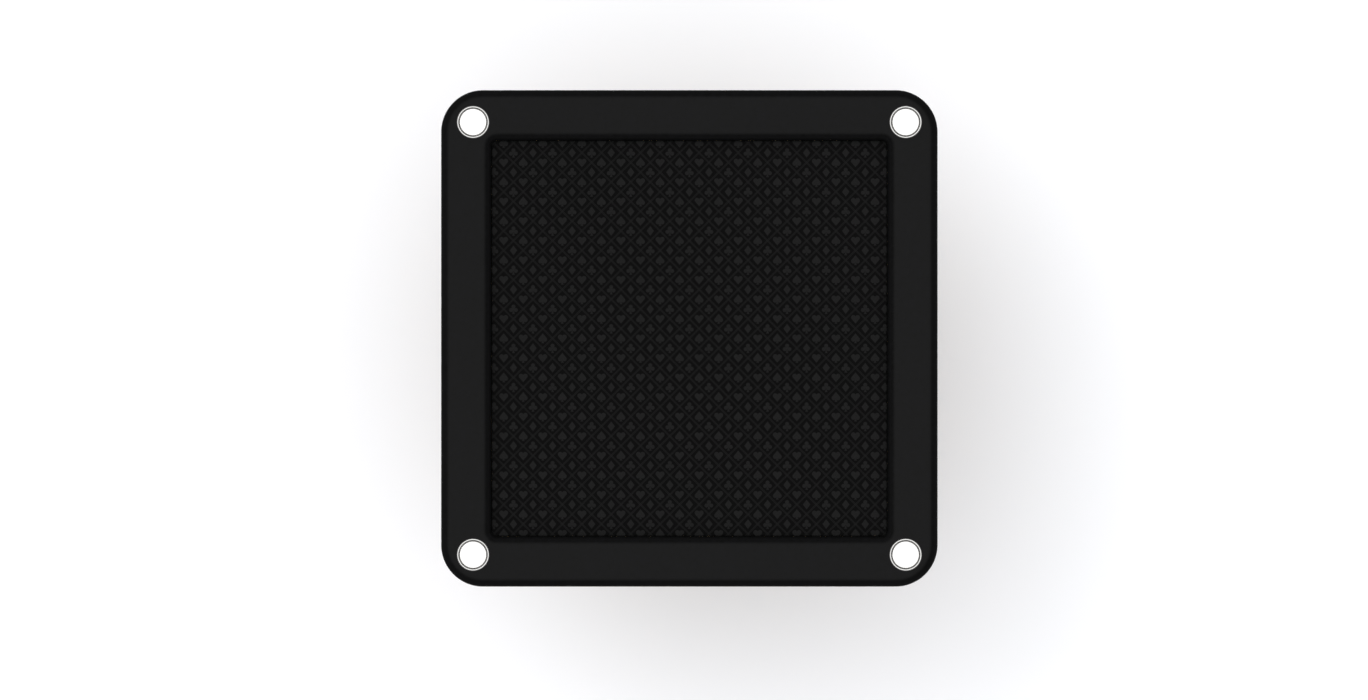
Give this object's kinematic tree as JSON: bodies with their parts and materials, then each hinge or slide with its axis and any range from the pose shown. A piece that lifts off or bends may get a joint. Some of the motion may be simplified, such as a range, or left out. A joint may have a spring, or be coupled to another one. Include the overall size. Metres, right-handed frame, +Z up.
{
  "type": "card table",
  "caption": "Square card table with a padded rail, drop-in steel cups, a lift-out patterned cloth playing field, and a square column on a plinth with levelling feet.",
  "frame": {"origin": "on the floor, below the table's centre", "axes": "+Z up; the front faces -Y, and +X is to the right of a person who stands in front and looks along +Y"},
  "size_m": [1.27, 1.27, 0.7648],
  "materials": {
    "vinyl": "satin black leatherette",
    "foam": "open-cell foam",
    "cloth": "black coated polyester cloth with a grey printed lattice",
    "stainless": "polished stainless steel",
    "zinc_steel": "bright zinc plate",
    "black_wood": "black satin lacquer",
    "plywood": "birch plywood",
    "bare_wood": "planed softwood and beech",
    "nylon": "moulded nylon"
  },
  "bodies": {
    "table": {"apron_back": "black_wood", "apron_corner_back_left": "black_wood", "apron_corner_back_right": "black_wood", "apron_corner_front_left": "black_wood", "apron_corner_front_right": "black_wood", "apron_dowels": "bare_wood", "apron_front": "black_wood", "apron_left": "black_wood", "apron_right": "black_wood", "batten_left": "bare_wood", "batten_right": "bare_wood", "column_base_moulding": "black_wood", "column_cap_moulding": "black_wood", "column_panel_back": "black_wood", "column_panel_front": "black_wood", "column_panel_left": "black_wood", "column_panel_right": "black_wood", "column_posts": "bare_wood", "corner_braces": "bare_wood", "deck": "plywood", "edge_cleats": "bare_wood", "foot_inserts": "zinc_steel", "plate_bolts": "zinc_steel", "plate_tnuts": "zinc_steel", "plinth_blocks": "bare_wood", "plinth_skirt_back": "black_wood", "plinth_skirt_front": "black_wood", "plinth_skirt_left": "black_wood", "plinth_skirt_right": "black_wood", "plinth_top": "black_wood", "rail_bolts": "zinc_steel", "rail_core_back": "plywood", "rail_core_corners": "plywood", "rail_core_front": "plywood", "rail_core_left": "plywood", "rail_core_right": "plywood", "rail_cover": "vinyl", "rail_foam_corners": "foam", "rail_foam_sides": "foam", "rail_tnuts": "zinc_steel", "top_plate": "black_wood", "wood_screws": "zinc_steel"},
    "cup_front_left": {"cup_front_left": "stainless"},
    "foot_front_left": {"foot_front_left": "nylon"},
    "stud_front_left": {"foot_stud_front_left": "zinc_steel"},
    "cup_front_right": {"cup_front_right": "stainless"},
    "foot_front_right": {"foot_front_right": "nylon"},
    "stud_front_right": {"foot_stud_front_right": "zinc_steel"},
    "cup_back_left": {"cup_back_left": "stainless"},
    "foot_back_left": {"foot_back_left": "nylon"},
    "stud_back_left": {"foot_stud_back_left": "zinc_steel"},
    "cup_back_right": {"cup_back_right": "stainless"},
    "foot_back_right": {"foot_back_right": "nylon"},
    "stud_back_right": {"foot_stud_back_right": "zinc_steel"},
    "field": {"field_board": "plywood", "field_cloth": "cloth", "field_underlay": "foam"}
  },
  "joints": [
    {"name": "field_lift", "type": "slide", "parent": "table", "child": "field", "axis": [0, 0, 1], "range_m": [0, 0.1]},
    {"name": "cup_front_left_lift", "type": "slide", "parent": "table", "child": "cup_front_left", "axis": [0, 0, 1], "range_m": [0, 0.09]},
    {"name": "cup_front_right_lift", "type": "slide", "parent": "table", "child": "cup_front_right", "axis": [0, 0, 1], "range_m": [0, 0.09]},
    {"name": "cup_back_left_lift", "type": "slide", "parent": "table", "child": "cup_back_left", "axis": [0, 0, 1], "range_m": [0, 0.09]},
    {"name": "cup_back_right_lift", "type": "slide", "parent": "table", "child": "cup_back_right", "axis": [0, 0, 1], "range_m": [0, 0.09]},
    {"name": "stud_front_left_screw", "type": "slide", "parent": "table", "child": "stud_front_left", "axis": [0, 0, -1], "range_m": [0, 0.02]},
    {"name": "foot_front_left_swivel", "type": "hinge", "parent": "stud_front_left", "child": "foot_front_left", "pos_m": [-0.282, -0.282, 0.006], "axis": [0, 0, 1], "continuous": true},
    {"name": "stud_front_right_screw", "type": "slide", "parent": "table", "child": "stud_front_right", "axis": [0, 0, -1], "range_m": [0, 0.02]},
    {"name": "foot_front_right_swivel", "type": "hinge", "parent": "stud_front_right", "child": "foot_front_right", "pos_m": [0.282, -0.282, 0.006], "axis": [0, 0, 1], "continuous": true},
    {"name": "stud_back_left_screw", "type": "slide", "parent": "table", "child": "stud_back_left", "axis": [0, 0, -1], "range_m": [0, 0.02]},
    {"name": "foot_back_left_swivel", "type": "hinge", "parent": "stud_back_left", "child": "foot_back_left", "pos_m": [-0.282, 0.282, 0.006], "axis": [0, 0, 1], "continuous": true},
    {"name": "stud_back_right_screw", "type": "slide", "parent": "table", "child": "stud_back_right", "axis": [0, 0, -1], "range_m": [0, 0.02]},
    {"name": "foot_back_right_swivel", "type": "hinge", "parent": "stud_back_right", "child": "foot_back_right", "pos_m": [0.282, 0.282, 0.006], "axis": [0, 0, 1], "continuous": true}
  ]
}
